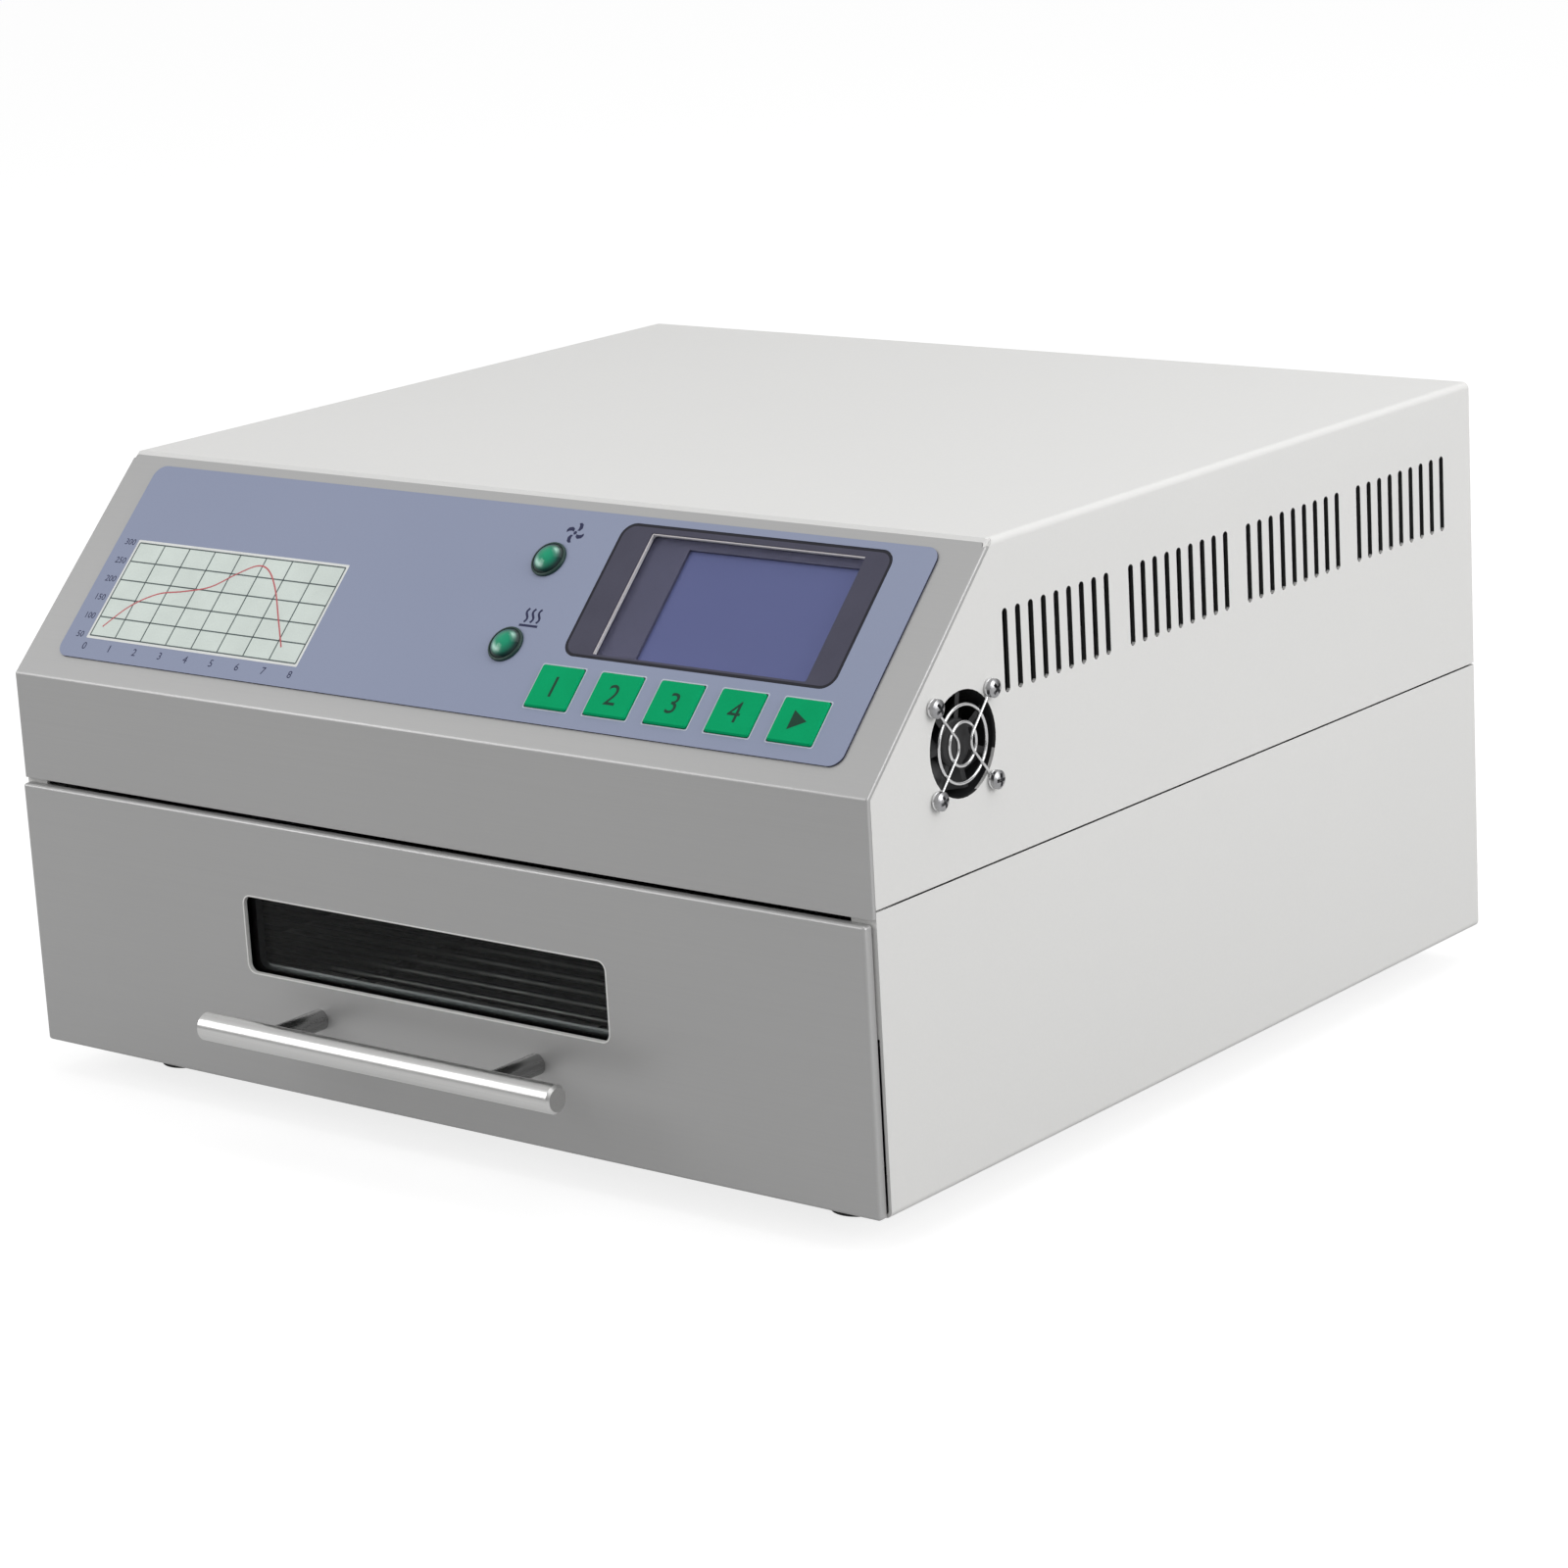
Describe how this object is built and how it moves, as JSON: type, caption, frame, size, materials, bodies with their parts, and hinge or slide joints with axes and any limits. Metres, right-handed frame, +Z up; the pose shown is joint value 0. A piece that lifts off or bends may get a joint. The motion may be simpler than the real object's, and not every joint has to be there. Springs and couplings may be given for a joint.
{
  "type": "reflow oven",
  "caption": "Bench-top infrared reflow oven: sheet-metal case with a sloping control panel, side fan, and a sliding drawer with a window that carries circuit boards under quartz heaters.",
  "frame": {"origin": "bottom centre of the bounding box, on the plane under the feet", "axes": "+X to the right of someone facing the drawer, -Y out of the drawer front, +Z up"},
  "size_m": [0.3132, 0.322, 0.175],
  "materials": {
    "white_steel": "powder coat",
    "grey_steel": "satin brushed",
    "zinc_steel": "zinc plated",
    "stainless": "brushed",
    "chrome_wire": "polished",
    "bright_aluminium": "bright",
    "black_rubber": "matte",
    "blue_film": "satin film",
    "smoked_film": "smoked",
    "screen_glass": "glossy",
    "board_green": "solder mask",
    "black_plastic": "moulded",
    "green_key": "moulded",
    "green_lens": "translucent",
    "clear_glass": "clear",
    "milky_quartz": "milky",
    "white_ceramic": "fired ceramic",
    "white_fibre": "felted fibre",
    "red_plastic": "moulded",
    "core_iron": "varnished"
  },
  "bodies": {
    "casing": {"base_tray": "white_steel", "board_standoffs": "zinc_steel", "control_board": "board_green", "control_overlay": "blue_film", "cooling_fan_frame": "black_plastic", "cooling_fan_guard": "chrome_wire", "cooling_fan_screws": "zinc_steel", "display_window": "smoked_film", "electronics_shelf": "zinc_steel", "exhaust_duct": "zinc_steel", "exhaust_fan_frame": "black_plastic", "fan_indicator": "green_lens", "foot_screws": "zinc_steel", "front_panel": "grey_steel", "heat_indicator": "green_lens", "heater_caps": "white_ceramic", "heater_tube_1": "milky_quartz", "heater_tube_2": "milky_quartz", "heater_tube_3": "milky_quartz", "heater_tube_4": "milky_quartz", "indicator_bezels": "black_plastic", "insulation_blanket": "white_fibre", "key_switches": "black_plastic", "lcd_frame": "zinc_steel", "lcd_screen": "screen_glass", "mains_inlet": "black_plastic", "oven_hood": "zinc_steel", "power_board": "board_green", "rear_panel": "zinc_steel", "rear_screws": "zinc_steel", "reflector": "bright_aluminium", "rubber_feet": "black_rubber", "slide_outer_left": "zinc_steel", "slide_outer_right": "zinc_steel", "switch_housing": "black_plastic", "thermocouples": "stainless", "top_cover": "white_steel", "transformer": "core_iron", "triac_heat_sink": "bright_aluminium"},
    "drawer": {"drawer_front": "grey_steel", "window_glass": "clear_glass", "glass_clips": "zinc_steel", "handle_bar": "stainless", "handle_posts": "stainless", "handle_screws": "zinc_steel", "drawer_tray": "zinc_steel", "tray_rack": "stainless", "slide_inner_left": "zinc_steel", "slide_inner_right": "zinc_steel"},
    "left_middle_slide": {"slide_middle_left": "zinc_steel"},
    "right_middle_slide": {"slide_middle_right": "zinc_steel"},
    "key_1_cap": {"key_1": "green_key"},
    "key_2_cap": {"key_2": "green_key"},
    "key_3_cap": {"key_3": "green_key"},
    "key_4_cap": {"key_4": "green_key"},
    "key_5_cap": {"key_5": "green_key"},
    "cooling_rotor": {"cooling_fan_rotor": "black_plastic"},
    "exhaust_rotor": {"exhaust_fan_rotor": "black_plastic"},
    "rocker": {"power_rocker": "red_plastic"}
  },
  "joints": [
    {"name": "drawer_slide", "type": "slide", "parent": "casing", "child": "drawer", "axis": [0, -1, 0], "range_m": [0, 0.19]},
    {"name": "left_slide_extend", "type": "slide", "parent": "casing", "child": "left_middle_slide", "axis": [0, -1, 0], "range_m": [0, 0.095]},
    {"name": "right_slide_extend", "type": "slide", "parent": "casing", "child": "right_middle_slide", "axis": [0, -1, 0], "range_m": [0, 0.095]},
    {"name": "key_1_press", "type": "slide", "parent": "casing", "child": "key_1_cap", "axis": [0, 0.7039, -0.7103], "range_m": [0, 0.0006], "stiffness_N_per_m": 400, "springref_m": -0.001},
    {"name": "key_2_press", "type": "slide", "parent": "casing", "child": "key_2_cap", "axis": [0, 0.7039, -0.7103], "range_m": [0, 0.0006], "stiffness_N_per_m": 400, "springref_m": -0.001},
    {"name": "key_3_press", "type": "slide", "parent": "casing", "child": "key_3_cap", "axis": [0, 0.7039, -0.7103], "range_m": [0, 0.0006], "stiffness_N_per_m": 400, "springref_m": -0.001},
    {"name": "key_4_press", "type": "slide", "parent": "casing", "child": "key_4_cap", "axis": [0, 0.7039, -0.7103], "range_m": [0, 0.0006], "stiffness_N_per_m": 400, "springref_m": -0.001},
    {"name": "key_5_press", "type": "slide", "parent": "casing", "child": "key_5_cap", "axis": [0, 0.7039, -0.7103], "range_m": [0, 0.0006], "stiffness_N_per_m": 400, "springref_m": -0.001},
    {"name": "cooling_fan_spin", "type": "hinge", "parent": "casing", "child": "cooling_rotor", "pos_m": [0.149, -0.09455, 0.125], "axis": [1, 0, 0], "continuous": true},
    {"name": "exhaust_fan_spin", "type": "hinge", "parent": "casing", "child": "exhaust_rotor", "pos_m": [-0.06, 0.14145, 0.09], "axis": [0, 1, 0], "continuous": true},
    {"name": "power_rocker_tip", "type": "hinge", "parent": "casing", "child": "rocker", "pos_m": [0.055, 0.15645, 0.046], "axis": [1, 0, 0], "range_deg": [-22, 0]}
  ],
  "couplings": [
    {"joint": "left_slide_extend", "follows": "drawer_slide", "ratio": 0.5},
    {"joint": "right_slide_extend", "follows": "drawer_slide", "ratio": 0.5}
  ]
}
